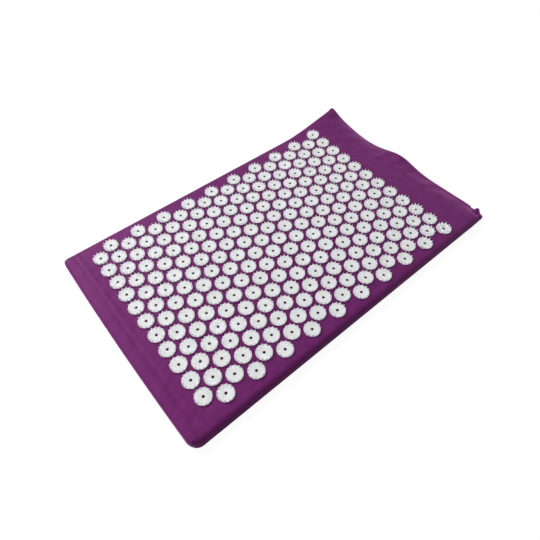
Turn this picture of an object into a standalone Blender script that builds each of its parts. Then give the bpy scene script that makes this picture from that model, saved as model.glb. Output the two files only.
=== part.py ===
"""Acupressure mat: a foam pad in a zipped cotton cover with columns of moulded spike discs.

Blender 4.5, metres, +Z up. X runs along the mat, from the closed end (-X) to the
loose hem (+X); Y runs across it. The origin is on the floor, at the middle of the
object's footprint.
"""
import math

import bmesh
import bpy
from mathutils import Matrix, Vector
from mathutils.bvhtree import BVHTree

# Cover and foam pad
COVER_LENGTH = 0.701
COVER_WIDTH = 0.430
FOAM_THICKNESS = 0.018
FABRIC_THICKNESS = 0.0008
FOAM_SIDE_ROOM = 0.003
FIT_GAP = 0.0003
SEAM_ROOM = 0.0005
CROWN_HEIGHT = 0.0010
EDGE_RADIUS = 0.006
FOAM_EDGE_RADIUS = 0.003
CLOSED_CORNER_RADIUS = 0.018
OPEN_CORNER_RADIUS = 0.006
CLOSED_END_BULGE = 0.0030
CLOSED_END_BULGE_REACH = 0.040

# Loose end of the cover, past the foam
TAIL_LENGTH = 0.038
HEM_THICKNESS = 0.0032
HEM_REST_HEIGHT = 0.012
HEM_WAVE_HEIGHT = 0.014
HEM_WAVE_Y = 0.003
HEM_WAVE_SPREAD = 0.048
HEM_DIP_DEPTH = 0.0045
HEM_DIP_Y = 0.114
HEM_DIP_SPREAD = 0.054
HEM_CORNER_RISE = 0.0115
HEM_CORNER_SPREAD = 0.027
HEM_CORNER_FALL = 0.006
HEM_FALL_SPREAD = 0.020
HEM_DRAWN_IN = 0.007

# Corner that curls up off the floor, at the loose end and the far side
CURL_HEIGHT = 0.027
CURL_INSET = 0.160
CURL_REACH = 0.200
CURL_START_Y = 0.017

# Spike discs, in columns across the mat; every second column is half a pitch over.
# The grid is bonded on a little askew: it is shifted, and turned by an angle in radians.
COLUMN_PITCH = 0.0285
DISC_PITCH = 0.0337
CLOSED_END_MARGIN = 0.057
OPEN_END_MARGIN = 0.1015
SIDE_MARGIN = 0.0290
GRID_SHIFT_Y = -0.0035
GRID_TURN = -0.0124
DISC_DIAMETER = 0.028
DISC_BASE_THICKNESS = 0.0014
SPIKE_HEIGHT = 0.0055
DISC_SIDES = 10
BOND_ROOM_ON_CURL = 0.0003

# Zip in the far side wall
ZIP_LENGTH = 0.430
ZIP_END_MARGIN = 0.034
ZIP_SLOT_HEIGHT = 0.0088
ZIP_SLOT_RISE = 0.0024
TAPE_THICKNESS = 0.0006
COIL_WIDTH = 0.0016
COIL_THICKNESS = 0.0016
CHAIN_GAP = 0.0014
STOP_LENGTH = 0.0030
STOP_HEIGHT = 0.0054
STOP_PROUD = 0.0022

# Zip slider, with the bail that carries the pull tab
SLIDER_LENGTH = 0.0085
SLIDER_HEIGHT = 0.0070
SLIDER_PLATE = 0.0010
SLIDER_POST_LENGTH = 0.0030
SLIDER_CORNER = 0.0015
BAIL_WIDTH = 0.0020
BAIL_THICKNESS = 0.0010
BAIL_ROOM = 0.0006

# Pull tab
PULL_LENGTH = 0.0220
PULL_WIDTH = 0.0056
PULL_THICKNESS = 0.0012
PULL_CLEARANCE = 0.0004
PULL_WINDOW_ROOM = 0.0012

# How finely the sheets are divided
COARSE_CELLS = 6
CURL_CELLS = 6
TAIL_CELLS = 3
NEAR_CELLS = 3
WAVE_CELLS = 9
WAVE_REACH_SPREADS = 1.6
ROUNDING_SHARE = 0.30
ROUNDING_THICKNESS_SHARE = 0.45
TAIL_FALL_POWER = 2.0
OVERRUN = 0.002

HALF_LENGTH = COVER_LENGTH / 2
HALF_WIDTH = COVER_WIDTH / 2
PAD_HEIGHT = FOAM_THICKNESS + 2 * (FABRIC_THICKNESS + FIT_GAP)
FOAM_INSET = FABRIC_THICKNESS + FOAM_SIDE_ROOM
FOAM_END_X = HALF_LENGTH - TAIL_LENGTH
CURL_START_X = HALF_LENGTH - CURL_INSET
FIRST_COLUMN_X = -HALF_LENGTH + CLOSED_END_MARGIN

BAIL_INSIDE = PULL_THICKNESS + 2 * PULL_CLEARANCE
TAPE_FACE_Y = HALF_WIDTH - FABRIC_THICKNESS / 2 + TAPE_THICKNESS / 2
COIL_BACK_Y = TAPE_FACE_Y + FIT_GAP
COIL_FACE_Y = COIL_BACK_Y + COIL_THICKNESS
FRONT_PLATE_Y = COIL_FACE_Y + FIT_GAP
BAIL_FOOT_Y = FRONT_PLATE_Y + SLIDER_PLATE
BAIL_TOP_Y = BAIL_FOOT_Y + BAIL_INSIDE + BAIL_THICKNESS
PULL_AXIS_Y = BAIL_FOOT_Y + PULL_CLEARANCE + PULL_THICKNESS / 2
BACK_PLATE_Y = TAPE_FACE_Y - TAPE_THICKNESS - FIT_GAP
ZIP_Z = FABRIC_THICKNESS + FIT_GAP + ZIP_SLOT_RISE + ZIP_SLOT_HEIGHT / 2
ZIP_START_X = -HALF_LENGTH + ZIP_END_MARGIN
ZIP_END_X = ZIP_START_X + ZIP_LENGTH
SLIDER_REST_X = ZIP_START_X + STOP_LENGTH + FIT_GAP + SLIDER_LENGTH / 2

# The pull stands proud of the far side, so the pad sits a little off the middle
PAD_SHIFT_Y = -(BAIL_TOP_Y - HALF_WIDTH) / 2

COTTON = (0.200, 0.028, 0.170)
FOAM = (0.85, 0.82, 0.72)
DISC_WHITE = (0.80, 0.82, 0.82)
ZIP_TAPE = (0.110, 0.014, 0.095)
ZIP_METAL = (0.42, 0.40, 0.40)


def clamp(value):
    return min(max(value, 0.0), 1.0)


def smooth(value):
    share = clamp(value)
    return share * share * (3 - 2 * share)


def bell(value):
    return math.exp(-value * value)


def curl(x, y):
    """Height that the curled corner adds, with y counted from the pad's middle."""
    along = smooth((x - CURL_START_X) / CURL_REACH)
    across = clamp((y - CURL_START_Y) / (HALF_WIDTH - CURL_START_Y))
    return CURL_HEIGHT * along * across ** 2


def hem_height(y):
    """Height of the wavy hem over the line that the pad's underside would take."""
    wave = HEM_WAVE_HEIGHT * bell((y - HEM_WAVE_Y) / HEM_WAVE_SPREAD)
    dip = HEM_DIP_DEPTH * bell((y - HEM_DIP_Y) / HEM_DIP_SPREAD)
    rise = HEM_CORNER_RISE * bell((HALF_WIDTH - y) / HEM_CORNER_SPREAD)
    fall = HEM_CORNER_FALL * bell((HALF_WIDTH + y) / HEM_FALL_SPREAD)
    return HEM_REST_HEIGHT + wave - dip + rise - fall


def tail_share(x):
    return clamp((x - FOAM_END_X) / TAIL_LENGTH)


def top_height(x, y):
    """Outer face of the top panel, away from its rounded edge."""
    crown = CROWN_HEIGHT * (1 - (y / HALF_WIDTH) ** 2) * (1 - (x / HALF_LENGTH) ** 2)
    body = PAD_HEIGHT + crown
    fall = tail_share(x) ** TAIL_FALL_POWER
    return curl(x, y) + body + (hem_height(y) - body) * fall


def under_height(x, y):
    """Outer face of the bottom panel."""
    return curl(x, y) + (hem_height(y) - HEM_THICKNESS) * smooth(tail_share(x))


def spread(start, stop, cells):
    """Points between start and stop in equal steps, without start."""
    return [start + (stop - start) * (i + 1) / cells for i in range(cells)]


class Plan:
    """Outline of a sheet seen from above, and the grid lines that divide it."""

    def __init__(self, inset, end_x, closed_radius, open_radius, edge_radius, end_radius):
        self.start_x = -HALF_LENGTH + inset
        self.end_x = end_x
        self.half_width = HALF_WIDTH - inset
        self.closed_radius = closed_radius
        self.open_radius = open_radius
        self.x_lines = self.lines_along(inset, edge_radius, end_radius)
        self.y_lines = self.lines_across(inset, edge_radius)

    def lines_along(self, inset, edge_radius, end_radius):
        start = self.start_x
        lines = [start, start + ROUNDING_SHARE * edge_radius, start + edge_radius]
        corner = -HALF_LENGTH + CLOSED_CORNER_RADIUS
        lines.append(corner)
        lines += spread(corner, CURL_START_X, COARSE_CELLS)
        last = FOAM_END_X
        if self.end_x <= FOAM_END_X:
            last = self.end_x - end_radius
        lines += spread(CURL_START_X, last, CURL_CELLS)
        if self.end_x > FOAM_END_X:
            lines += spread(FOAM_END_X, self.end_x - self.open_radius, TAIL_CELLS)
            lines.append(self.end_x - end_radius)
        lines += [self.end_x - ROUNDING_SHARE * end_radius, self.end_x]
        return lines

    def lines_across(self, inset, edge_radius):
        side = self.half_width
        rim = [side, side - ROUNDING_SHARE * edge_radius, side - edge_radius]
        corner = HALF_WIDTH - CLOSED_CORNER_RADIUS
        wave_start = HEM_WAVE_Y - WAVE_REACH_SPREADS * HEM_WAVE_SPREAD
        lines = [-y for y in rim] + [-corner]
        lines += spread(-corner, wave_start, NEAR_CELLS)
        lines += spread(wave_start, corner, WAVE_CELLS)
        return lines + rim[::-1]

    def depth(self, x, y):
        """Distance in from the outline."""
        return min(x - self.start_x, self.end_x - x, self.half_width - abs(y))

    def place(self, x, y):
        """Moves a point of the straight-sided plan onto the real one."""
        closed = x < 0
        radius = self.closed_radius if closed else self.open_radius
        along = self.start_x + radius - x if closed else x - (self.end_x - radius)
        across = abs(y) - (self.half_width - radius)
        if along > 0 and across > 0:
            pull = 1 - max(along, across) / math.hypot(along, across)
            x += along * pull if closed else -along * pull
            y -= math.copysign(across * pull, y)
        bulge_share = clamp(1 - (x - self.start_x) / CLOSED_END_BULGE_REACH)
        x += CLOSED_END_BULGE * (y / HALF_WIDTH) ** 2 * bulge_share
        across_share = clamp((y - CURL_START_Y) / (HALF_WIDTH - CURL_START_Y))
        x -= HEM_DRAWN_IN * across_share ** 2 * tail_share(x)
        return x, y


def edge_drop(depth, radius):
    """Fall of a quarter-round edge at a distance in from the outline."""
    if depth >= radius:
        return 0.0
    return radius - math.sqrt(radius ** 2 - (radius - max(depth, 0.0)) ** 2)


def centres_that_fit(span, pitch):
    """How many disc centres, a pitch apart, a span holds."""
    return math.floor(span / pitch) + 1


def grid_sheet(plan, height):
    """A sheet over the plan, its heights from height(x, y, depth)."""
    bm = bmesh.new()
    x_cells = len(plan.x_lines) - 1
    y_cells = len(plan.y_lines) - 1
    bmesh.ops.create_grid(bm, x_segments=x_cells, y_segments=y_cells, size=1)
    for vert in bm.verts:
        x = plan.x_lines[round((vert.co.x + 1) / 2 * x_cells)]
        y = plan.y_lines[round((vert.co.y + 1) / 2 * y_cells)]
        depth = plan.depth(x, y)
        x, y = plan.place(x, y)
        vert.co = (x, y, height(x, y, depth))
    bmesh.ops.triangulate(bm, faces=bm.faces[:], quad_method="FIXED")
    return bm


def cover_top(x, y, depth):
    top = top_height(x, y)
    thickness = top - under_height(x, y)
    return top - edge_drop(depth, min(EDGE_RADIUS, ROUNDING_THICKNESS_SHARE * thickness))


def foam_top(x, y, depth):
    lining = FABRIC_THICKNESS + FIT_GAP
    return top_height(x, y) - lining - edge_drop(depth, FOAM_EDGE_RADIUS)


def material(name, colour, roughness, metallic=0.0):
    made = bpy.data.materials.new(name)
    made.use_nodes = True
    shader = made.node_tree.nodes["Principled BSDF"]
    shader.inputs["Base Color"].default_value = (*colour, 1.0)
    shader.inputs["Roughness"].default_value = roughness
    shader.inputs["Metallic"].default_value = metallic
    made.diffuse_color = (*colour, 1.0)
    return made


def add_object(name, bm, collection, surface, origin=(0.0, 0.0, 0.0)):
    """Makes an object of a mesh that is modelled round the pad's middle."""
    bmesh.ops.recalc_face_normals(bm, faces=bm.faces[:])
    bmesh.ops.translate(bm, verts=bm.verts[:], vec=-Vector(origin))
    mesh = bpy.data.meshes.new(name)
    bm.to_mesh(mesh)
    bm.free()
    made = bpy.data.objects.new(name, mesh)
    made.location = Vector(origin) + Vector((0.0, PAD_SHIFT_Y, 0.0))
    if surface:
        mesh.materials.append(surface)
    collection.objects.link(made)
    return made


def box_mesh(low, high):
    """A box between two corners, as a new mesh."""
    bm = bmesh.new()
    bmesh.ops.create_cube(bm, size=1)
    low = Vector(low)
    high = Vector(high)
    bmesh.ops.scale(bm, verts=bm.verts[:], vec=high - low)
    bmesh.ops.translate(bm, verts=bm.verts[:], vec=(high + low) / 2)
    return bm


def slab(plan, top, bottom):
    """A closed slab over the plan, between two height functions."""
    bm = grid_sheet(plan, top)
    made = bmesh.ops.extrude_face_region(bm, geom=bm.faces[:])
    for vert in made["geom"]:
        if isinstance(vert, bmesh.types.BMVert):
            vert.co.z = bottom(vert.co.x, vert.co.y)
    return bm


def foam_core(collection, surface):
    plan = Plan(
        inset=FOAM_INSET,
        end_x=FOAM_END_X,
        closed_radius=CLOSED_CORNER_RADIUS - FOAM_INSET,
        open_radius=OPEN_CORNER_RADIUS,
        edge_radius=FOAM_EDGE_RADIUS,
        end_radius=FOAM_EDGE_RADIUS,
    )
    lining = FABRIC_THICKNESS + FIT_GAP
    bm = slab(plan, foam_top, lambda x, y: under_height(x, y) + lining)
    return add_object("foam_core", bm, collection, surface)


def cover_plan(inset=0.0):
    """Outline of the cover, or of a panel that its walls stand round."""
    end_inset = inset / (1 - HEM_DRAWN_IN / TAIL_LENGTH)
    return Plan(
        inset=inset,
        end_x=HALF_LENGTH - end_inset,
        closed_radius=CLOSED_CORNER_RADIUS - inset,
        open_radius=OPEN_CORNER_RADIUS - inset,
        edge_radius=EDGE_RADIUS,
        end_radius=ROUNDING_THICKNESS_SHARE * HEM_THICKNESS,
    )


def cover_bottom_panel(collection, surface):
    """The bottom panel, sewn in between the lower edges of the walls."""
    bm = slab(
        cover_plan(inset=FABRIC_THICKNESS + SEAM_ROOM),
        lambda x, y, depth: under_height(x, y) + FABRIC_THICKNESS,
        under_height,
    )
    return add_object("cover_bottom_panel", bm, collection, surface)


def cover_top_panel(collection, cutters, surface):
    """The top panel with its walls down to the floor, cut through for the zip."""
    bm = grid_sheet(cover_plan(), cover_top)
    rim = [edge for edge in bm.edges if edge.is_boundary]
    wall = bmesh.ops.extrude_edge_only(bm, edges=rim)
    for vert in wall["geom"]:
        if isinstance(vert, bmesh.types.BMVert):
            vert.co.z = under_height(vert.co.x, vert.co.y)
    bmesh.ops.triangulate(bm, faces=bm.faces[:], quad_method="FIXED")
    bmesh.ops.recalc_face_normals(bm, faces=bm.faces[:])
    if max(bm.faces, key=lambda face: face.calc_center_median().z).normal.z < 0:
        bmesh.ops.reverse_faces(bm, faces=bm.faces[:])
    mesh = bpy.data.meshes.new("cover_top_panel")
    bm.to_mesh(mesh)
    bm.free()
    panel = bpy.data.objects.new("cover_top_panel", mesh)
    panel.location.y = PAD_SHIFT_Y
    mesh.materials.append(surface)
    collection.objects.link(panel)
    skin = panel.modifiers.new("fabric", "SOLIDIFY")
    skin.thickness = FABRIC_THICKNESS
    skin.offset = -1
    skin.use_even_offset = True
    slot_half = ZIP_SLOT_HEIGHT / 2
    cutter_mesh = box_mesh(
        (ZIP_START_X - FIT_GAP, HALF_WIDTH - FABRIC_THICKNESS - OVERRUN, ZIP_Z - slot_half),
        (ZIP_END_X + FIT_GAP, HALF_WIDTH + OVERRUN, ZIP_Z + slot_half),
    )
    cutter = add_object("zip_slot_cutter", cutter_mesh, cutters, None)
    cutter.hide_render = True
    cutter.display_type = "WIRE"
    slot = panel.modifiers.new("zip_slot", "BOOLEAN")
    slot.operation = "DIFFERENCE"
    slot.solver = "EXACT"
    slot.object = cutter
    return panel


def top_surface():
    """The top panel's outer face, to seat the discs on."""
    bm = grid_sheet(cover_plan(), cover_top)
    tree = BVHTree.FromBMesh(bm)
    bm.free()
    return tree


def seat_height(tree, x, y):
    """Height of the bond film's underside, which fills a little more where the pad curls."""
    above = PAD_HEIGHT + CURL_HEIGHT + HEM_WAVE_HEIGHT
    hit = tree.ray_cast(Vector((x, y, above)), Vector((0.0, 0.0, -1.0)))
    return hit[0].z + FIT_GAP + BOND_ROOM_ON_CURL * clamp(curl(x, y) / CROWN_HEIGHT)


def add_disc(bm, x, y):
    """A moulded disc: a round base, and a spike on every second sector of its top."""
    made = bmesh.ops.create_cone(
        bm,
        matrix=Matrix.Rotation(math.pi / DISC_SIDES, 4, "Z"),
        cap_ends=True,
        segments=DISC_SIDES,
        radius1=DISC_DIAMETER / 2,
        radius2=DISC_DIAMETER / 2,
        depth=DISC_BASE_THICKNESS,
    )
    verts = made["verts"]
    bmesh.ops.translate(bm, verts=verts, vec=(x, y, DISC_BASE_THICKNESS / 2))
    faces = {face for vert in verts for face in vert.link_faces}
    top = max(faces, key=lambda face: face.calc_center_median().z)
    sectors = bmesh.ops.poke(bm, faces=[top])["faces"]
    sectors.sort(key=lambda face: math.atan2(*(face.calc_center_median().xy - Vector((x, y)))))
    spikes = bmesh.ops.poke(bm, faces=sectors[::2])["verts"]
    for vert in spikes:
        vert.co.z = DISC_BASE_THICKNESS + SPIKE_HEIGHT
    sides = [face for face in faces if face.is_valid and abs(face.normal.z) < 0.5]
    far = max(sides, key=lambda face: face.calc_center_median().y)
    near = min(sides, key=lambda face: face.calc_center_median().y)
    return far, near


def disc_column(index, middle_x, tree, collection, surface):
    """One column of discs, joined by the thin strip that bonds them to the cover."""
    in_wide_column = centres_that_fit(COVER_WIDTH - 2 * SIDE_MARGIN, DISC_PITCH)
    count = in_wide_column if index % 2 == 1 else in_wide_column - 1
    x = FIRST_COLUMN_X + index * COLUMN_PITCH
    first_y = -(count - 1) / 2 * DISC_PITCH
    bm = bmesh.new()
    faces = [add_disc(bm, x, first_y + i * DISC_PITCH) for i in range(count)]
    for (far, _), (_, near) in zip(faces[:-1], faces[1:]):
        edges = list(far.edges) + list(near.edges)
        bmesh.ops.delete(bm, geom=[far, near], context="FACES_ONLY")
        bmesh.ops.bridge_loops(bm, edges=edges)
    turn = Matrix.Rotation(GRID_TURN, 3, "Z")
    bmesh.ops.rotate(bm, verts=bm.verts[:], cent=(middle_x, 0.0, 0.0), matrix=turn)
    bmesh.ops.translate(bm, verts=bm.verts[:], vec=(0.0, GRID_SHIFT_Y, 0.0))
    for vert in bm.verts:
        vert.co.z += seat_height(tree, vert.co.x, vert.co.y)
    name = f"spike_disc_column_{index + 1:02d}"
    return add_object(name, bm, collection, surface)


def zip_tape(name, side, collection, surface):
    """One tape of the zip; side is 1 for the upper tape and -1 for the lower one."""
    inner = CHAIN_GAP / 2
    outer = ZIP_SLOT_HEIGHT / 2 - FIT_GAP
    low = ZIP_Z + min(side * inner, side * outer)
    high = ZIP_Z + max(side * inner, side * outer)
    bm = box_mesh(
        (ZIP_START_X, TAPE_FACE_Y - TAPE_THICKNESS, low),
        (ZIP_END_X, TAPE_FACE_Y, high),
    )
    return add_object(name, bm, collection, surface)


def zip_coil(name, side, collection, surface):
    """One half of the closed chain, between the two end stops."""
    inner = CHAIN_GAP / 2
    outer = inner + COIL_WIDTH
    low = ZIP_Z + min(side * inner, side * outer)
    high = ZIP_Z + max(side * inner, side * outer)
    bm = box_mesh(
        (ZIP_START_X + STOP_LENGTH + FIT_GAP, COIL_BACK_Y, low),
        (ZIP_END_X - STOP_LENGTH - FIT_GAP, COIL_FACE_Y, high),
    )
    return add_object(name, bm, collection, surface)


def zip_stop(name, start_x, collection, surface):
    bm = box_mesh(
        (start_x, COIL_BACK_Y, ZIP_Z - STOP_HEIGHT / 2),
        (start_x + STOP_LENGTH, COIL_BACK_Y + STOP_PROUD, ZIP_Z + STOP_HEIGHT / 2),
    )
    return add_object(name, bm, collection, surface)


def round_upright(made, width):
    """Rounds a small moulded or cast piece."""
    bevel = made.modifiers.new("soft_edges", "BEVEL")
    bevel.width = width
    bevel.segments = 1
    bevel.limit_method = "ANGLE"
    return made


def join_bodies(target, others):
    """Unites boxes that overlap into one body, in the order given."""
    for other in others:
        union = target.modifiers.new("join", "BOOLEAN")
        union.operation = "UNION"
        union.solver = "EXACT"
        union.object = other
        other.hide_render = True
        other.display_type = "WIRE"


def plate_mesh(back_y):
    """One plate of the slider, with its four corners cut off."""
    half = SLIDER_LENGTH / 2
    bm = box_mesh(
        (SLIDER_REST_X - half, back_y, ZIP_Z - SLIDER_HEIGHT / 2),
        (SLIDER_REST_X + half, back_y + SLIDER_PLATE, ZIP_Z + SLIDER_HEIGHT / 2),
    )
    uprights = [
        edge for edge in bm.edges
        if abs((edge.verts[0].co - edge.verts[1].co).normalized().y) > 0.5
    ]
    bmesh.ops.bevel(
        bm, geom=uprights, offset=SLIDER_CORNER, segments=2, profile=0.5, affect="EDGES",
    )
    return bm


def zip_slider(collection, cutters, surface):
    """Slider: two plates on a thin post, and the bail over the front plate."""
    origin = (SLIDER_REST_X, PULL_AXIS_Y, ZIP_Z)
    slider = add_object("zip_slider", plate_mesh(FRONT_PLATE_Y), collection, surface, origin)
    back = add_object(
        "slider_back_plate", plate_mesh(BACK_PLATE_Y - SLIDER_PLATE), cutters, None, origin,
    )
    post_half = CHAIN_GAP / 2 - FIT_GAP
    sunk = SLIDER_PLATE / 2
    post = box_mesh(
        (SLIDER_REST_X - SLIDER_POST_LENGTH / 2, BACK_PLATE_Y - sunk, ZIP_Z - post_half),
        (SLIDER_REST_X + SLIDER_POST_LENGTH / 2, FRONT_PLATE_Y + sunk, ZIP_Z + post_half),
    )
    inside = PULL_THICKNESS / 2 + BAIL_ROOM
    outside = inside + BAIL_THICKNESS
    bail = box_mesh(
        (SLIDER_REST_X - outside, BAIL_FOOT_Y - sunk, ZIP_Z - BAIL_WIDTH / 2),
        (SLIDER_REST_X + outside, BAIL_TOP_Y, ZIP_Z + BAIL_WIDTH / 2),
    )
    eye = box_mesh(
        (SLIDER_REST_X - inside, BAIL_FOOT_Y, ZIP_Z - BAIL_WIDTH / 2 - OVERRUN),
        (SLIDER_REST_X + inside, BAIL_TOP_Y - BAIL_THICKNESS, ZIP_Z + BAIL_WIDTH / 2 + OVERRUN),
    )
    post = add_object("slider_post", post, cutters, None, origin)
    bail = add_object("slider_bail", bail, cutters, None, origin)
    eye = add_object("slider_eye_cutter", eye, cutters, None, origin)
    join_bodies(slider, [back, post, bail])
    hole = slider.modifiers.new("eye", "BOOLEAN")
    hole.operation = "DIFFERENCE"
    hole.solver = "EXACT"
    hole.object = eye
    eye.hide_render = True
    eye.display_type = "WIRE"
    return slider


def zip_pull_tab(collection, cutters, surface):
    """Pull tab, lying along the chain, with its crossbar in the slider's bail."""
    origin = (SLIDER_REST_X, PULL_AXIS_Y, ZIP_Z)
    half = PULL_THICKNESS / 2
    tab = box_mesh(
        (SLIDER_REST_X - half, PULL_AXIS_Y - half, ZIP_Z - PULL_WIDTH / 2),
        (SLIDER_REST_X - half + PULL_LENGTH, PULL_AXIS_Y + half, ZIP_Z + PULL_WIDTH / 2),
    )
    tab = add_object("zip_pull_tab", tab, collection, surface, origin)
    round_upright(tab, PULL_THICKNESS / 6)
    bail_end = half + BAIL_ROOM + BAIL_THICKNESS
    window_half = BAIL_WIDTH / 2 + PULL_CLEARANCE
    window = box_mesh(
        (SLIDER_REST_X + half, PULL_AXIS_Y - half - OVERRUN, ZIP_Z - window_half),
        (
            SLIDER_REST_X + bail_end + PULL_WINDOW_ROOM,
            PULL_AXIS_Y + half + OVERRUN,
            ZIP_Z + window_half,
        ),
    )
    window = add_object("pull_window_cutter", window, cutters, None, origin)
    window.hide_render = True
    window.display_type = "WIRE"
    hole = tab.modifiers.new("window", "BOOLEAN")
    hole.operation = "DIFFERENCE"
    hole.solver = "EXACT"
    hole.object = window
    return tab


def build():
    for old in list(bpy.data.objects):
        bpy.data.objects.remove(old, do_unlink=True)
    parts = bpy.data.collections.new("acupressure_mat")
    cutters = bpy.data.collections.new("cutters")
    bpy.context.scene.collection.children.link(parts)
    bpy.context.scene.collection.children.link(cutters)

    cotton = material("purple_cotton", COTTON, 0.9)
    foam = material("foam", FOAM, 0.95)
    disc = material("disc_plastic", DISC_WHITE, 0.35)
    tape = material("zip_tape", ZIP_TAPE, 0.85)
    coil = material("zip_coil", ZIP_TAPE, 0.45)
    metal = material("zip_metal", ZIP_METAL, 0.35, 0.9)

    foam_core(parts, foam)
    cover_bottom_panel(parts, cotton)
    cover_top_panel(parts, cutters, cotton)
    tree = top_surface()
    columns = centres_that_fit(
        COVER_LENGTH - CLOSED_END_MARGIN - OPEN_END_MARGIN, COLUMN_PITCH,
    )
    middle_x = FIRST_COLUMN_X + (columns - 1) / 2 * COLUMN_PITCH
    for index in range(columns):
        disc_column(index, middle_x, tree, parts, disc)
    zip_tape("zip_tape_upper", 1, parts, tape)
    zip_tape("zip_tape_lower", -1, parts, tape)
    zip_coil("zip_coil_upper", 1, parts, coil)
    zip_coil("zip_coil_lower", -1, parts, coil)
    zip_stop("zip_stop_closed_end", ZIP_START_X, parts, metal)
    zip_stop("zip_stop_open_end", ZIP_END_X - STOP_LENGTH, parts, metal)
    zip_slider(parts, cutters, metal)
    zip_pull_tab(parts, cutters, metal)


build()
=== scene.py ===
"""Dresses the acupressure mat: its cotton cover, foam, spike discs and zip."""
import math
import random

import bpy
import numpy as np
from mathutils import Matrix, Vector


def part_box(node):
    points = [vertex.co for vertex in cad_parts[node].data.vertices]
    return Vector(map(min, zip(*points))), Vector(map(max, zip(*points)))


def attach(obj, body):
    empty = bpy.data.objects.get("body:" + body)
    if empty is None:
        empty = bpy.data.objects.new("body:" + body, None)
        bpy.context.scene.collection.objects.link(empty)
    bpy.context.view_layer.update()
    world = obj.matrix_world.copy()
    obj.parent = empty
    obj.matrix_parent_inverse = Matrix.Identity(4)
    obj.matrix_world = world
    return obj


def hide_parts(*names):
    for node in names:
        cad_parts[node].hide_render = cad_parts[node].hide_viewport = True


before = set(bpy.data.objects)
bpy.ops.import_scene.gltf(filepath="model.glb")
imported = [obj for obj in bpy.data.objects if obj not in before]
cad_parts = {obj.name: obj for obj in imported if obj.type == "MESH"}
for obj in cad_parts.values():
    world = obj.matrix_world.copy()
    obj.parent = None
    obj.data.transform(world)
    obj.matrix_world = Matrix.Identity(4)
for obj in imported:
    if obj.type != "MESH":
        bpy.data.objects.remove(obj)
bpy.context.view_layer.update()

# Places read from the frame
cover_low, cover_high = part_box("cover_top_panel")
foam_low, foam_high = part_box("foam_core")
tape_low, tape_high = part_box("zip_tape_upper")
lower_tape_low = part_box("zip_tape_lower")[0]
HALF_LENGTH = (cover_high.x - cover_low.x) / 2
HALF_WIDTH = (cover_high.y - cover_low.y) / 2
PAD_Y = (cover_high.y + cover_low.y) / 2
FOAM_END_X = foam_high.x
FOAM_INSET = foam_low.x + HALF_LENGTH
TAIL_LENGTH = HALF_LENGTH - FOAM_END_X

# Thicknesses. The pad is a little higher in its middle and at its two sides.
FABRIC = 0.0008
GAP = 0.0003
FOAM_THICKNESS = 0.018
PAD_HEIGHT = FOAM_THICKNESS + 2 * (FABRIC + GAP)
CROWN = 0.0010
SIDE_LIFT = 0.0014
HEM_THICKNESS = 0.0032

# Outline seen from above
CLOSED_CORNER = 0.018
FAR_CORNER_TIGHTER = 0.008
OPEN_CORNER = 0.006
CLOSED_BULGE = 0.0030
CLOSED_BULGE_REACH = 0.040
HEM_DRAWN_IN = 0.007

# Curl of the loose end at its far corner
CURL = 0.027
CURL_START_X = HALF_LENGTH - 0.160
CURL_REACH = 0.200
CURL_START_Y = 0.017

# A band is a long rise of the cloth, or a dent where its height is negative. Its three
# values are its height, the line that it lies on and its spread to either side.
HEM_REST = 0.012
HEM_WAVE = (0.014, 0.003, 0.048)
HEM_DIP = (-0.0045, 0.114, 0.054)
HEM_FAR_RISE = (0.0115, HALF_WIDTH, 0.027)
HEM_NEAR_FALL = (-0.006, -HALF_WIDTH, 0.020)
HEM_BANDS = (HEM_WAVE, HEM_DIP, HEM_FAR_RISE, HEM_NEAR_FALL)

# Bands across the closed end, by the distance in from it
CLOSED_LIP = (0.0013, 0.0140, 0.0075)
CLOSED_TROUGH = (-0.0004, 0.0235, 0.0040)
CLOSED_FOLD = (0.0016, 0.0285, 0.0028)
SECOND_FOLD = (0.0006, 0.0205, 0.0022)
CLOSED_FOLD_START_Y = -0.16
CLOSED_FOLD_RUN = 0.26
SECOND_FOLD_START_Y = -0.05
SECOND_FOLD_RUN = 0.2

# Bands along the hem, by the distance in from it
HEM_SEAM = 0.0115
SEAM_CREASE = (-0.0008, HEM_SEAM, 0.0013)
SEAM_SWELL = (0.0005, 0.0070, 0.0030)
NEAR_HALF_RUN = 0.05
FAR_CREASE_SHARE = 0.4

# Folds that run slantwise over the loose end: height, start, end and spread
TAIL_FOLDS = (
    (0.00096, (0.268, 0.145), (0.340, 0.095), 0.0045),
    (0.00072, (0.272, 0.055), (0.342, 0.030), 0.0040),
    (0.00066, (0.275, 0.005), (0.338, -0.030), 0.0045),
    (0.00054, (0.285, -0.060), (0.344, -0.105), 0.0045),
)
TAIL_RUN = 0.03

# Random relief of the cloth: height, wavelength and seed
WANDER = (0.00025, 0.045, 3)
FINE_WANDER = (0.00012, 0.018, 5)
LOOSE_WANDER = (0.0006, 0.030, 8)

# Ear that stands up at the hem's near corner, with a dip beside it and a fold behind
EAR_Y = -0.1995
EAR = (0.0082, EAR_Y, 0.0050)
EAR_START_X = 0.332
EAR_RUN = 0.014
EAR_DIP = (-0.0055, EAR_Y + 0.0100, 0.0042)
EAR_DIP_START_X = 0.325
EAR_DIP_RUN = 0.02
EAR_FOLD_X = 0.3335
EAR_FOLD = (-0.0045, EAR_FOLD_X, 0.0024)
EAR_FOLD_START_Y = -0.188
EAR_FOLD_RUN = 0.014

# Disc pattern
COLUMNS = 20
COLUMN_PITCH = 0.0285
DISC_PITCH = 0.0337
DISCS_IN_COLUMN = 11
FIRST_COLUMN_X = -HALF_LENGTH + 0.057
GRID_MIDDLE_X = FIRST_COLUMN_X + (COLUMNS - 1) / 2 * COLUMN_PITCH
GRID_SHIFT = (-0.0012, -0.0029)
GRID_TURN = -0.0124

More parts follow.
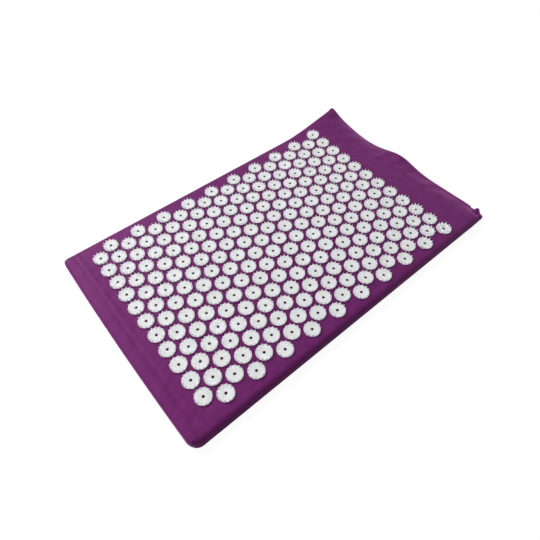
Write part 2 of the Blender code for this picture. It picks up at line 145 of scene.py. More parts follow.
# The rows bow a little, as the cloth gave when the discs were pressed on. Each bow is
# the shift at the grid's edge for the lengthwise, diagonal and crosswise terms.
GRID_HALF = (0.270, 0.185)
GRID_BOW_X = (0.0007, 0.0009, 0.0018)
GRID_BOW_Y = (0.0019, 0.0009, 0.0013)

# Zip
ZIP_START_X = tape_low.x
ZIP_END_X = tape_high.x
ZIP_Z = (tape_high.z + lower_tape_low.z) / 2
SLOT_HALF = tape_high.z + GAP - ZIP_Z


# Curves and surfaces

def smooth(value):
    """Soft step from 0 to 1."""
    share = np.clip(value, 0.0, 1.0)
    return share * share * (3 - 2 * share)


def bell(value):
    return np.exp(-value * value)


def rise(where, band):
    height, middle, spread = band
    return height * bell((where - middle) / spread)


def curl(x, y):
    along = smooth((x - CURL_START_X) / CURL_REACH)
    across = np.clip((y - CURL_START_Y) / (HALF_WIDTH - CURL_START_Y), 0, 1)
    return CURL * along * across ** 2


def hem_height(y):
    return HEM_REST + sum(rise(y, band) for band in HEM_BANDS)


def tail_share(x):
    """None over the foam, one at the hem."""
    return np.clip((x - FOAM_END_X) / TAIL_LENGTH, 0, 1)


def top_height(x, y):
    across = (y / HALF_WIDTH) ** 2
    body = PAD_HEIGHT + CROWN * (1 - across) * (1 - (x / HALF_LENGTH) ** 2) + SIDE_LIFT * across
    return curl(x, y) + body + (hem_height(y) - body) * tail_share(x) ** 2


def under_height(x, y):
    return curl(x, y) + (hem_height(y) - HEM_THICKNESS) * smooth(tail_share(x))


def edge_drop(depth, radius):
    """How far a rounded edge lies below its top, at a depth in from its side."""
    inside = np.clip(radius - np.maximum(depth, 0), 0, None)
    return radius - np.sqrt(np.maximum(radius ** 2 - inside ** 2, 0))


def soft_noise(x, y, wander):
    """Smooth random relief from a sum of waves of many directions."""
    height, size, seed = wander
    rng = np.random.default_rng(seed)
    total = np.zeros_like(x)
    waves = 9
    shortest_share = 0.7
    longest_share = 1.7
    for _ in range(waves):
        angle = rng.uniform(0, math.pi)
        wavelength = size * rng.uniform(shortest_share, longest_share)
        phase = rng.uniform(0, 2 * math.pi)
        total += np.sin((x * math.cos(angle) + y * math.sin(angle)) / wavelength * 2 * math.pi + phase)
    return height * total / math.sqrt(waves)


def ridge(x, y, start, end, spread):
    """Long soft ridge between two points, one unit high, tapering to its ends."""
    a = np.array(start)
    b = np.array(end)
    run = b - a
    along = ((x - a[0]) * run[0] + (y - a[1]) * run[1]) / (run @ run)
    off = ((x - a[0]) * run[1] - (y - a[1]) * run[0]) / np.linalg.norm(run)
    return bell(off / spread) * np.sin(np.pi * np.clip(along, 0, 1))


def relief(x, y):
    """Small rises and dents of the cloth, over the shape that the foam gives it."""
    from_closed = x + HALF_LENGTH
    from_hem = HALF_LENGTH - x
    closed_end = rise(from_closed, CLOSED_LIP) + rise(from_closed, CLOSED_TROUGH)
    closed_end += rise(from_closed, CLOSED_FOLD) * smooth((y - CLOSED_FOLD_START_Y) / CLOSED_FOLD_RUN)
    closed_end += rise(from_closed, SECOND_FOLD) * smooth((y - SECOND_FOLD_START_Y) / SECOND_FOLD_RUN)
    near = smooth(-y / NEAR_HALF_RUN)
    hem = rise(from_hem, SEAM_CREASE) * (FAR_CREASE_SHARE + (1 - FAR_CREASE_SHARE) * near)
    hem += rise(from_hem, SEAM_SWELL) * near
    tail = smooth((x - FOAM_END_X) / TAIL_RUN + 0.5)
    loose = soft_noise(x, y, LOOSE_WANDER)
    for height, start, end, spread in TAIL_FOLDS:
        loose = loose + height * ridge(x, y, start, end, spread)
    wander = soft_noise(x, y, WANDER) + soft_noise(x, y, FINE_WANDER)
    return closed_end + hem + loose * tail + wander


def corner_flap(x, y):
    """Cloth of the near corner of the hem, which stands up in a small dark-folded ear."""
    ear = rise(y, EAR) * smooth((x - EAR_START_X) / EAR_RUN)
    dip = rise(y, EAR_DIP) * smooth((x - EAR_DIP_START_X) / EAR_DIP_RUN)
    fold = rise(x, EAR_FOLD) * smooth((EAR_FOLD_START_Y - y) / EAR_FOLD_RUN)
    return ear + dip + fold


def place(x, y, inset, end_x, closed_radius, open_radius):
    """Moves points of the straight-sided plan onto the real outline."""
    start_x = -HALF_LENGTH + inset
    half = HALF_WIDTH - inset
    closed = x < 0
    radius = np.where(closed, closed_radius - np.where(y > 0, FAR_CORNER_TIGHTER, 0.0), open_radius)
    along = np.where(closed, start_x + radius - x, x - (end_x - radius))
    across = np.abs(y) - (half - radius)
    corner = (along > 0) & (across > 0)
    reach = np.where(corner, np.hypot(along, across), 1.0)
    pull = np.where(corner, 1 - np.maximum(along, across) / reach, 0.0)
    x = x + np.where(closed, along, -along) * pull
    y = y - np.sign(y) * across * pull
    x = x + CLOSED_BULGE * (y / HALF_WIDTH) ** 2 * np.clip(1 - (x - start_x) / CLOSED_BULGE_REACH, 0, 1)
    across_share = np.clip((y - CURL_START_Y) / (HALF_WIDTH - CURL_START_Y), 0, 1)
    x = x - HEM_DRAWN_IN * across_share ** 2 * tail_share(x)
    return x, y


# Grids and pieces

def arc_depths(radius, steps):
    """Distances in from an edge that divide its rounding evenly."""
    return [radius * (1 - math.cos(math.pi / 2 * i / steps)) for i in range(steps + 1)]


def fill_lines(fixed, step):
    """Grid lines through the fixed values, never further apart than step."""
    decimals = 7
    rounding = 1e-6
    values = sorted(set(round(v, decimals) for v in fixed))
    lines = [values[0]]
    for a, b in zip(values[:-1], values[1:]):
        cells = max(1, math.ceil((b - a) / step - rounding))
        lines += [a + (b - a) * (i + 1) / cells for i in range(cells)]
    return np.array(lines)


def flipped(face):
    """The same face, turned to its other side."""
    return face[:1] + face[:0:-1]


def grid_faces(nx, ny, first=0, upward=True):
    """Quads between the points of a grid, which face up or down."""
    faces = []
    for i in range(nx - 1):
        for j in range(ny - 1):
            a = first + i * ny + j
            quad = (a, a + ny, a + ny + 1, a + 1)
            faces.append(quad if upward else flipped(quad))
    return faces


def grid_ring(nx, ny):
    """Indices of the grid's outer vertices, once round."""
    near = [i * ny for i in range(nx)]
    end = [(nx - 1) * ny + j for j in range(1, ny)]
    far = [i * ny + ny - 1 for i in range(nx - 2, -1, -1)]
    start = [j for j in range(ny - 2, 0, -1)]
    return near + end + far + start


def new_piece(name, verts, faces, material):
    mesh = bpy.data.meshes.new(name)
    mesh.from_pydata([tuple(v) for v in verts], [], faces)
    mesh.validate()
    mesh.materials.append(material)
    mesh.shade_smooth()
    made = bpy.data.objects.new(name, mesh)
    bpy.context.scene.collection.objects.link(made)
    return made


# Materials

CLOTH_GLANCE = (0.85, 0.19, 0.79, 1)
CLOTH_SHEEN = (0.76, 0.19, 0.73, 1)


def node(tree, kind, **values):
    made = tree.nodes.new(kind)
    for key, value in values.items():
        setattr(made, key, value)
    return made


def new_material(name, colour, roughness, **settings):
    """A material, its tree and its shader, with the shader's inputs set by name."""
    made = bpy.data.materials.new(name)
    made.use_nodes = True
    shader = made.node_tree.nodes["Principled BSDF"]
    shader.inputs["Base Color"].default_value = (*colour, 1)
    shader.inputs["Roughness"].default_value = roughness
    for key, value in settings.items():
        shader.inputs[key.replace("_", " ")].default_value = value
    made.diffuse_color = (*colour, 1)
    return made, made.node_tree, shader


def math_node(tree, operation, a, b=None):
    made = node(tree, "ShaderNodeMath", operation=operation)
    for socket, value in zip(made.inputs, (a, b)):
        if value is None:
            continue
        if isinstance(value, (int, float)):
            socket.default_value = value
        else:
            tree.links.new(value, socket)
    return made.outputs[0]


def object_coords(tree):
    return node(tree, "ShaderNodeTexCoord").outputs["Object"]


def noise_at(tree, coords, scale, detail):
    made = node(tree, "ShaderNodeTexNoise")
    made.inputs["Scale"].default_value = scale
    made.inputs["Detail"].default_value = detail
    tree.links.new(coords, made.inputs["Vector"])
    return made.outputs["Fac"]


def ramp_between(tree, factor, low, high, colour_a, colour_b):
    made = node(tree, "ShaderNodeValToRGB")
    made.color_ramp.elements[0].position = low
    made.color_ramp.elements[1].position = high
    made.color_ramp.elements[0].color = (*colour_a, 1)
    made.color_ramp.elements[1].color = (*colour_b, 1)
    tree.links.new(factor, made.inputs["Fac"])
    return made.outputs["Color"]


def vary_roughness(tree, shader, factor, low, high):
    made = node(tree, "ShaderNodeMapRange")
    made.inputs["To Min"].default_value = low
    made.inputs["To Max"].default_value = high
    tree.links.new(factor, made.inputs["Value"])
    tree.links.new(made.outputs[0], shader.inputs["Roughness"])


def add_bump(tree, shader, height, strength, distance):
    made = node(tree, "ShaderNodeBump")
    made.inputs["Strength"].default_value = strength
    made.inputs["Distance"].default_value = distance
    tree.links.new(height, made.inputs["Height"])
    tree.links.new(made.outputs[0], shader.inputs["Normal"])


def woven_cloth(name, colour, light, thread=0.00055):
    """Plain weave: warp and weft threads over and under, with slubs and mottled dye. Its colour is also
    painted darker where the weave dips and lighter on raised threads, as painted shade.
    """
    made, tree, shader = new_material(
        name, colour, 0.54,
        Sheen_Weight=0.85, Sheen_Roughness=0.4, Sheen_Tint=CLOTH_SHEEN,
        Specular_IOR_Level=0.32, Specular_Tint=CLOTH_GLANCE,
    )
    coords = object_coords(tree)
    split = node(tree, "ShaderNodeSeparateXYZ")
    tree.links.new(coords, split.inputs[0])
    across = math_node(tree, "ADD", split.outputs[1], split.outputs[2])
    turn = math.pi / thread
    warp = math_node(tree, "SINE", math_node(tree, "MULTIPLY", split.outputs[0], turn))
    weft = math_node(tree, "SINE", math_node(tree, "MULTIPLY", across, turn))
    over = math_node(tree, "MULTIPLY", warp, weft)
    slub = noise_at(tree, coords, scale=900.0, detail=3.0)
    mottle = noise_at(tree, coords, scale=55.0, detail=4.0)
    height = math_node(tree, "ADD", math_node(tree, "MULTIPLY", over, 0.5), slub)
    add_bump(tree, shader, height, strength=0.55, distance=0.00012)
    dye = math_node(tree, "MULTIPLY", mottle, 0.75)
    # Random dye tone plus the weave's height: the height part paints shade into the weave's hollows.
    dye_and_weave_shade = math_node(tree, "ADD", dye, math_node(tree, "MULTIPLY", height, 0.20))
    tree.links.new(ramp_between(tree, dye_and_weave_shade, 0.25, 0.80, colour, light), shader.inputs["Base Color"])
    return made


def moulded_plastic(name, colour, shade, glow=0.0):
    """Satin plastic with faint clouds, which lets some light through where it glows."""
    made, tree, shader = new_material(
        name, colour, 0.32,
        Subsurface_Weight=glow, Subsurface_Radius=(1.0, 1.0, 1.0), Subsurface_Scale=0.0070,
        Specular_IOR_Level=0.14,
    )
    shader.subsurface_method = "BURLEY"
    coords = object_coords(tree)
    cloud = noise_at(tree, coords, scale=90.0, detail=3.0)
    grain = noise_at(tree, coords, scale=1400.0, detail=2.0)
    tree.links.new(ramp_between(tree, cloud, 0.3, 0.7, shade, colour), shader.inputs["Base Color"])
    vary_roughness(tree, shader, grain, 0.52, 0.68)
    add_bump(tree, shader, grain, strength=0.15, distance=0.00005)
    return made


def plated_metal(name, colour, dark):
    made, tree, shader = new_material(name, colour, 0.3, Metallic=1.0)
    coords = object_coords(tree)
    scratch = noise_at(tree, coords, scale=700.0, detail=5.0)
    wear = noise_at(tree, coords, scale=160.0, detail=3.0)
    tree.links.new(ramp_between(tree, wear, 0.35, 0.7, colour, dark), shader.inputs["Base Color"])
    vary_roughness(tree, shader, scratch, 0.22, 0.45)
    add_bump(tree, shader, scratch, strength=0.2, distance=0.00005)
    return made


def open_foam(name, colour, dark):
    made, tree, shader = new_material(name, colour, 0.95)
    cells = node(tree, "ShaderNodeTexVoronoi")
    cells.inputs["Scale"].default_value = 900.0
    tree.links.new(object_coords(tree), cells.inputs["Vector"])
    walls = cells.outputs["Distance"]
    # The pores, low in the bump, are painted darker: painted shade in their hollows.
    tree.links.new(ramp_between(tree, walls, 0.1, 0.5, dark, colour), shader.inputs["Base Color"])
    add_bump(tree, shader, walls, strength=0.6, distance=0.0003)
    return made


cotton = woven_cloth("purple_cotton", (0.096, 0.0118, 0.082), (0.128, 0.0172, 0.111))
thread_material = woven_cloth("sewing_thread", (0.13, 0.02, 0.115), (0.19, 0.035, 0.17), thread=0.0003)
tape_material = woven_cloth("zip_tape_weave", (0.085, 0.011, 0.075), (0.13, 0.02, 0.115), thread=0.0004)
plastic = moulded_plastic("disc_plastic", (0.705, 0.710, 0.718), (0.650, 0.658, 0.667), glow=0.9)
# Near-black material for the disc's hole: painted shade, not a real glue
hole_shade = moulded_plastic("painted_hole_shade", (0.010, 0.009, 0.010), (0.018, 0.014, 0.017))
coil_plastic = moulded_plastic("coil_nylon", (0.10, 0.014, 0.09), (0.075, 0.010, 0.066))
metal = plated_metal("zip_metal", (0.50, 0.49, 0.48), (0.36, 0.35, 0.35))
foam_material = open_foam("pale_foam", (0.85, 0.82, 0.72), (0.60, 0.56, 0.46))


# Foam

FOAM_CELL = 0.009
FOAM_EDGE_RADIUS = 0.005
FOAM_EDGE_STEPS = 4


def make_foam():
    start_x = -HALF_LENGTH + FOAM_INSET
    end_x = FOAM_END_X
    half = HALF_WIDTH - FOAM_INSET
    rim = arc_depths(FOAM_EDGE_RADIUS, FOAM_EDGE_STEPS)
    xs = fill_lines([start_x + d for d in rim] + [end_x - d for d in rim], FOAM_CELL)
    ys = fill_lines([-half + d for d in rim] + [half - d for d in rim], FOAM_CELL)
    gx, gy = np.meshgrid(xs, ys, indexing="ij")
    depth = np.minimum(np.minimum(gx - start_x, end_x - gx), half - np.abs(gy))
    px, py = place(gx, gy, FOAM_INSET, end_x, CLOSED_CORNER - FOAM_INSET, OPEN_CORNER)
    inward = FABRIC + GAP + edge_drop(depth, FOAM_EDGE_RADIUS)
    top = top_height(px, py) - inward
    foot = under_height(px, py) + inward
    nx, ny = gx.shape
    count = nx * ny
    upper = np.stack([px, py + PAD_Y, top], -1).reshape(-1, 3)
    lower = np.stack([px, py + PAD_Y, foot], -1).reshape(-1, 3)
    faces = grid_faces(nx, ny) + grid_faces(nx, ny, first=count, upward=False)
    ring = grid_ring(nx, ny)
    for a, b in zip(ring, ring[1:] + ring[:1]):
        faces.append((a, count + a, count + b, b))
    pad = new_piece("foam_pad", np.concatenate([upper, lower]), faces, foam_material)
    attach(pad, "mat")
    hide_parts("foam_core")


# Cover

COVER_CELL = 0.0035
FULLNESS = 1.0005

# The upper edge is soft along the near side, tighter along the far side and tightest at
# the closed end. Its rounding takes at most this share of the local thickness.
EDGE_RADIUS = 0.006
SOFT_EDGE_RADIUS = 0.0095
CLOSED_EDGE_RADIUS = 0.0042
SOFT_EDGE_END_Y = 0.10
SOFT_EDGE_FADE = 0.06
CLOSED_EDGE_BLEND = 0.012
EDGE_THICKNESS_SHARE = 0.45
EDGE_STEPS = 8
HEM_EDGE_STEPS = 4

# More grid lines, by their distance from the edge, the seam and the ear
EDGE_LINES = (0.0004, 0.0013)
SEAM_LINES = (-0.0025, -0.0012, 0.0, 0.0012, 0.0025)
EAR_FOLD_LINES = (-0.0025, 0.0, 0.0025)
EAR_LINES = (-0.0040, -0.0015, 0.0010, 0.0035)

# The walls swell out a little and tuck in at their foot where they are tall. The zip's
# side doesn't swell.
WALL_SWELL = 0.0009
WALL_TUCKS = (0, 0, 0, 0, 0, 0.0001, 0.0006)
TALL_WALL_START = 0.004
TALL_WALL_RUN = 0.008
ZIP_SIDE_DEPTH = 0.001
SLOT_ROWS = range(1, 5)

# Cloth simulation
HELD_LEVELS = 10
HELD_RADIUS = 0.0145
HELD_FADE = 0.0025
HELD_EDGE = 0.004
HELD_EDGE_FADE = 0.010
CLOTH_SLACK = 0.004
SETTLING_STEPS = 16
SETTLING_SHARE = 0.5
MOST_SIDEWAYS = 0.0008
MOST_DOWN = 0.0001
MOST_UP = 0.0018

# Bottom panel
PANEL_CELL = 0.007
PANEL_INSET = 0.0015
PANEL_EDGE = 0.0024
PANEL_EDGE_STEPS = 3


def cover_grid():
    rim = [*arc_depths(SOFT_EDGE_RADIUS, EDGE_STEPS), *EDGE_LINES]
    hem = arc_depths(EDGE_THICKNESS_SHARE * HEM_THICKNESS, HEM_EDGE_STEPS)
    fixed_x = [-HALF_LENGTH + d for d in rim] + [HALF_LENGTH - d for d in hem]
    fixed_x += [-HALF_LENGTH + CLOSED_CORNER, ZIP_START_X - GAP, ZIP_END_X + GAP]
    fixed_x += [CURL_START_X, FOAM_END_X]
    fixed_x += [EAR_FOLD_X + d for d in EAR_FOLD_LINES]
    fixed_x += [HALF_LENGTH - HEM_SEAM + d for d in SEAM_LINES]
    fixed_y = [side * (HALF_WIDTH - d) for d in rim for side in (-1, 1)]
    fixed_y += [side * (HALF_WIDTH - CLOSED_CORNER) for side in (-1, 1)]
    fixed_y += [EAR_Y + d for d in EAR_LINES]
    return fill_lines(fixed_x, COVER_CELL), fill_lines(fixed_y, COVER_CELL)


def cover_edge_radius(gx, gy, thickness):
    softness = 1 - smooth((gy - SOFT_EDGE_END_Y) / SOFT_EDGE_FADE)
    side_edge = EDGE_RADIUS + (SOFT_EDGE_RADIUS - EDGE_RADIUS) * softness
    from_closed = gx + HALF_LENGTH
    from_side = HALF_WIDTH - np.abs(gy)
    nearer_side = smooth(0.5 + (from_closed - from_side) / CLOSED_EDGE_BLEND)
    edge = CLOSED_EDGE_RADIUS + (side_edge - CLOSED_EDGE_RADIUS) * nearer_side
    return np.minimum(edge, EDGE_THICKNESS_SHARE * thickness)


def outline_normals(points):
    """Outward directions, seen from above, at the points of a closed outline."""
    before = np.roll(points, 1, axis=0)
    after = np.roll(points, -1, axis=0)
    run = after - before
    normal = np.stack([run[:, 1], -run[:, 0]], -1)
    return normal / np.linalg.norm(normal, axis=1, keepdims=True)


def add_walls(verts, ring):
    """The cover's points with rows down its walls, and the indices of each row."""
    rim = verts[ring]
    foot = under_height(rim[:, 0], rim[:, 1])
    outward = outline_normals(rim[:, :2])
    body_rim = PAD_HEIGHT - EDGE_RADIUS
    slot_top = (body_rim - ZIP_Z - SLOT_HALF) / body_rim
    slot_foot = (body_rim - ZIP_Z + SLOT_HALF) / body_rim
    slot_shares = np.linspace(slot_top, slot_foot, len(SLOT_ROWS) + 1)
    shares = [*slot_shares, (slot_foot + 1) / 2, 1.0]
    is_zip_side = rim[:, 1] > HALF_WIDTH - ZIP_SIDE_DEPTH
    tall = smooth((rim[:, 2] - foot - TALL_WALL_START) / TALL_WALL_RUN)
    rows = [ring]
    for share, tuck in zip(shares, WALL_TUCKS):
        z = rim[:, 2] + (foot - rim[:, 2]) * share
        swell = WALL_SWELL * math.sin(math.pi * share) * np.where(is_zip_side, 0, tall)
        out = swell - tuck * tall
        row = np.stack([rim[:, 0] + outward[:, 0] * out, rim[:, 1] + outward[:, 1] * out, z], -1)
        rows.append(list(range(len(verts), len(verts) + len(ring))))
        verts = np.concatenate([verts, row])
    return verts, rows


def wall_faces(rim, rows):
    """Quads between the rows of the walls, with the zip's slot left open."""
    faces = []
    is_zip_side = rim[:, 1] > HALF_WIDTH - ZIP_SIDE_DEPTH
    past_start = rim[:, 0] > ZIP_START_X - 2 * GAP
    before_end = rim[:, 0] < ZIP_END_X + 2 * GAP
    at_slot = is_zip_side & past_start & before_end
    for level, (upper, lower) in enumerate(zip(rows[:-1], rows[1:])):
        for k in range(len(rim)):
            n = (k + 1) % len(rim)
            if level in SLOT_ROWS and at_slot[k] and at_slot[n]:
                continue
            faces.append((upper[k], lower[k], lower[n], upper[n]))
    return faces


def held_cloth(x, y, depth):
    """One where the cloth can't move, under the discs and along its edge, and less past it."""
    nearest = np.full(x.shape, HALF_LENGTH)
    for index in range(COLUMNS):
        for along, across in column_places(index):
            disc_x, disc_y = disc_place(along, across)
            nearest = np.minimum(nearest, np.hypot(x - disc_x, y - disc_y))
    under_disc = 1 - smooth((nearest - HELD_RADIUS) / HELD_FADE)
    from_edge = np.zeros(len(x))
    from_edge[:depth.size] = depth.ravel()
    return np.maximum(under_disc, 1 - smooth((from_edge - HELD_EDGE) / HELD_EDGE_FADE))


def settle_cloth(cover, held):
    """Lets the cloth swell and pucker between the places where it is held."""
    mesh = cover.data
    start = np.empty(len(mesh.vertices) * 3)
    mesh.vertices.foreach_get("co", start)
    start = start.reshape(-1, 3)
    group = cover.vertex_groups.new(name="held")
    levels = np.round(held * HELD_LEVELS).astype(int)
    for level in range(1, HELD_LEVELS + 1):
        group.add(np.nonzero(levels == level)[0].tolist(), level / HELD_LEVELS, "REPLACE")
    cloth = cover.modifiers.new("settling", "CLOTH")
    settings = cloth.settings
    settings.quality = 6
    settings.mass = 0.15
    settings.tension_stiffness = 20
    settings.compression_stiffness = 20
    settings.shear_stiffness = 10
    settings.bending_stiffness = 0.4
    settings.vertex_group_mass = "held"
    settings.shrink_min = -CLOTH_SLACK
    settings.use_pressure = True
    settings.uniform_pressure_force = 1.5
    settings.effector_weights.gravity = 0
    scene = bpy.context.scene
    for step in range(1, SETTLING_STEPS + 1):
        scene.frame_set(step)
    settled = cover.evaluated_get(bpy.context.evaluated_depsgraph_get())
    end = np.empty(len(mesh.vertices) * 3)
    settled.data.vertices.foreach_get("co", end)
    moved = end.reshape(-1, 3) - start
    moved[:, :2] = np.clip(moved[:, :2], -MOST_SIDEWAYS, MOST_SIDEWAYS)
    moved[:, 2] = np.clip(moved[:, 2], -MOST_DOWN, MOST_UP)
    cover.modifiers.remove(cloth)
    cover.vertex_groups.remove(group)
    scene.frame_set(1)
    mesh.vertices.foreach_set("co", (start + moved * SETTLING_SHARE).ravel())
    mesh.update()


def add_thickness(cover):
    skin = cover.modifiers.new("fabric", "SOLIDIFY")
    skin.thickness = FABRIC
    skin.offset = -1


def make_cover_top():
    xs, ys = cover_grid()
    gx, gy = np.meshgrid(xs, ys, indexing="ij")
    from_ends = np.minimum(gx + HALF_LENGTH, HALF_LENGTH - gx)
    depth = np.minimum(from_ends, HALF_WIDTH - np.abs(gy))
    px, py = place(gx, gy, 0.0, HALF_LENGTH, CLOSED_CORNER, OPEN_CORNER)
    top = top_height(px, py)
    thickness = top - under_height(px, py)
    py = py * FULLNESS
    height = top - edge_drop(depth, cover_edge_radius(gx, gy, thickness))
    height += relief(px, py) * smooth(depth / EDGE_RADIUS)
    height += corner_flap(px, py)
    verts = np.stack([px, py, height], -1).reshape(-1, 3)
    ring = grid_ring(*gx.shape)
    rim = verts[ring]
    verts, rows = add_walls(verts, ring)
    faces = grid_faces(*gx.shape) + wall_faces(rim, rows)
    cover = new_piece("cover_top", verts + (0, PAD_Y, 0), faces, cotton)
    settle_cloth(cover, held_cloth(verts[:, 0], verts[:, 1], depth))
    add_thickness(cover)
    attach(cover, "mat")
    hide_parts("cover_top_panel")


def make_cover_bottom():
    start_x = -HALF_LENGTH + PANEL_INSET
    end_x = HALF_LENGTH - PANEL_INSET / (1 - HEM_DRAWN_IN / TAIL_LENGTH)
    half = HALF_WIDTH - PANEL_INSET
    rim = arc_depths(PANEL_EDGE, PANEL_EDGE_STEPS)
    fixed_x = [start_x + d for d in rim] + [end_x - d for d in rim] + [FOAM_END_X]
    xs = fill_lines(fixed_x, PANEL_CELL)
    ys = fill_lines([side * (half - d) for d in rim for side in (-1, 1)], PANEL_CELL)
    gx, gy = np.meshgrid(xs, ys, indexing="ij")
    px, py = place(gx, gy, PANEL_INSET, end_x, CLOSED_CORNER - PANEL_INSET, OPEN_CORNER - PANEL_INSET)
    verts = np.stack([px, py + PAD_Y, under_height(px, py)], -1).reshape(-1, 3)
    faces = grid_faces(*gx.shape, upward=False)
    cover = new_piece("cover_bottom", verts, faces, cotton)
    add_thickness(cover)
    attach(cover, "mat")
    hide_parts("cover_bottom_panel")


# Spike discs

DISC_RADIUS = 0.0140
DISC_SEGMENTS = 48
DISC_LIFT = 0.00015
SHARP_ANGLE = math.radians(38)
HOLE_RADIUS = 0.0025
PLATE_TOP = 0.0018

# Half section of the plate, from its hole to its rim: radius and height
PLATE_PROFILE = (
    (HOLE_RADIUS, 0.0001), (HOLE_RADIUS, 0.0013), (0.0029, 0.0017), (0.0060, PLATE_TOP),
    (0.0105, PLATE_TOP), (0.0132, PLATE_TOP), (0.0138, 0.0017), (DISC_RADIUS, 0.0013),
    (0.0139, 0.0009), (0.0131, 0.0005), (0.0125, 0.0002),
)

# A near-black disc in each disc's hole: painted shade that darkens the hole
HOLE_SHADE_RADIUS = 0.0028
HOLE_SHADE_HEIGHT = 0.0011
HOLE_SHADE_SEGMENTS = 12

# Teeth of the rim and spikes inside it. A profile is radii at shares of the height. An
# inner ring is its count of spikes, its radius and their height.
RIM_TEETH = 12
TOOTH_RING_RADIUS = 0.0123
TOOTH_HEIGHT = 0.0048
TOOTH_LEAN = 0.24
TOOTH_PROFILE = ((0.00168, 0.0), (0.00138, 0.30), (0.00095, 0.62), (0.00042, 0.93))
INNER_RINGS = ((9, 0.0088, 0.0024), (6, 0.0053, 0.0024))
INNER_LEAN = 0.05
INNER_PROFILE = ((0.00100, 0.0), (0.00060, 0.25), (0.00036, 0.60), (0.00016, 0.93))
SPIKE_SIDES = 7
SPIKE_SINK = 0.0006
SLOPE_STEP = 0.004


def circle(radius, z, count, start=0.0):
    """Points evenly round the vertical axis, from a start angle."""
    angles = [start + 2 * math.pi * s / count for s in range(count)]
    return [(radius * math.cos(angle), radius * math.sin(angle), z) for angle in angles]


def add_bands(faces, first, rings, sides, turned=False):
    """Quads between rings of points, turned to their other side where asked."""
    for ring in range(rings - 1):
        a = first + ring * sides
        b = a + sides
        for s in range(sides):
            n = (s + 1) % sides
            quad = (a + s, a + n, b + n, b + s)
            faces.append(flipped(quad) if turned else quad)


def add_spike(verts, faces, angle, ring_radius, height, lean, profile):
    """A moulded spike that stands on the disc's plate and leans outward."""
    first = len(verts)
    outward = np.array([math.cos(angle), math.sin(angle)])
    foot = ring_radius * outward
    for radius, share in profile:
        centre = foot + outward * lean * share * height
        z = PLATE_TOP - SPIKE_SINK + share * (height + SPIKE_SINK)
        for x, y, _ in circle(radius, z, SPIKE_SIDES, angle):
            verts.append((centre[0] + x, centre[1] + y, z))
    tip = foot + outward * lean * height
    verts.append((tip[0], tip[1], PLATE_TOP + height))
    add_bands(faces, first, len(profile), SPIKE_SIDES)
    last_ring = first + (len(profile) - 1) * SPIKE_SIDES
    for s in range(SPIKE_SIDES):
        faces.append((last_ring + s, last_ring + (s + 1) % SPIKE_SIDES, len(verts) - 1))


def disc_shape():
    """One moulded disc round the origin: a lathe-turned plate, its spikes and a near-black disc of
    painted shade in its hole.
    """
    verts = []
    faces = []
    for radius, z in PLATE_PROFILE:
        verts += circle(radius, z, DISC_SEGMENTS)
    add_bands(faces, 0, len(PLATE_PROFILE), DISC_SEGMENTS, turned=True)
    for k in range(RIM_TEETH):
        angle = 2 * math.pi * k / RIM_TEETH
        add_spike(verts, faces, angle, TOOTH_RING_RADIUS, TOOTH_HEIGHT, TOOTH_LEAN, TOOTH_PROFILE)
    for count, ring_radius, height in INNER_RINGS:
        for k in range(count):
            angle = 2 * math.pi * (k + 0.5) / count
            add_spike(verts, faces, angle, ring_radius, height, INNER_LEAN, INNER_PROFILE)
    plastic_faces = len(faces)
    first = len(verts)
    # A near-black disc in the hole, as painted shade
    verts += circle(HOLE_SHADE_RADIUS, HOLE_SHADE_HEIGHT, HOLE_SHADE_SEGMENTS)
    faces.append(tuple(range(first, first + HOLE_SHADE_SEGMENTS)))
    return np.array(verts), faces, plastic_faces


def surface_frame(x, y):
    """Matrix and seat that stand a disc on the cover at a point of the pad."""
    def height(a, b):
        return float(top_height(np.array(a), np.array(b)))
    slope_x = (height(x + SLOPE_STEP, y) - height(x - SLOPE_STEP, y)) / (2 * SLOPE_STEP)
    slope_y = (height(x, y + SLOPE_STEP) - height(x, y - SLOPE_STEP)) / (2 * SLOPE_STEP)
    up = Vector((-slope_x, -slope_y, 1)).normalized()
    turn = Vector((0, 0, 1)).rotation_difference(up).to_matrix()
    return turn, Vector((x, y + PAD_Y, height(x, y)))


def column_places(index):
    """A column's discs on the regular grid, from its middle. Every second has one more."""
    count = DISCS_IN_COLUMN + index % 2
    along = (index - (COLUMNS - 1) / 2) * COLUMN_PITCH
    return [(along, (k - (count - 1) / 2) * DISC_PITCH) for k in range(count)]


def disc_place(along, across):
    """Where a disc of the regular grid sits on the pad."""
    u = along / GRID_HALF[0]
    v = across / GRID_HALF[1]
    bow_x = GRID_BOW_X[0] * u * u + GRID_BOW_X[1] * u * v + GRID_BOW_X[2] * v * v
    bow_y = GRID_BOW_Y[0] * u * u + GRID_BOW_Y[1] * u * v + GRID_BOW_Y[2] * v * v
    x = along * math.cos(GRID_TURN) - across * math.sin(GRID_TURN) + bow_x
    y = along * math.sin(GRID_TURN) + across * math.cos(GRID_TURN) + bow_y
    return GRID_MIDDLE_X + GRID_SHIFT[0] + x, GRID_SHIFT[1] + y


def make_disc_columns():
    shape, shape_faces, plastic_faces = disc_shape()
    disc_kinds = [0] * plastic_faces + [1] * (len(shape_faces) - plastic_faces)
    rng = random.Random(11)
    for index in range(COLUMNS):
        verts = []
        faces = []
        kinds = []
        for along, across in column_places(index):
            turn, seat = surface_frame(*disc_place(along, across))
            spin = Matrix.Rotation(rng.uniform(0, 2 * math.pi), 3, "Z")
            seat.z += DISC_LIFT
            first = len(verts)
            verts.extend(shape @ np.array(turn @ spin).T + np.array(seat))
            faces.extend(tuple(first + corner for corner in face) for face in shape_faces)
            kinds.extend(disc_kinds)
        column = new_piece(f"spike_discs_{index + 1:02d}", verts, faces, plastic)
        column.data.materials.append(hole_shade)
        column.data.polygons.foreach_set("material_index", kinds)
        column.data.set_sharp_from_angle(angle=SHARP_ANGLE)
        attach(column, "mat")
        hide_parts(f"spike_disc_column_{index + 1:02d}")


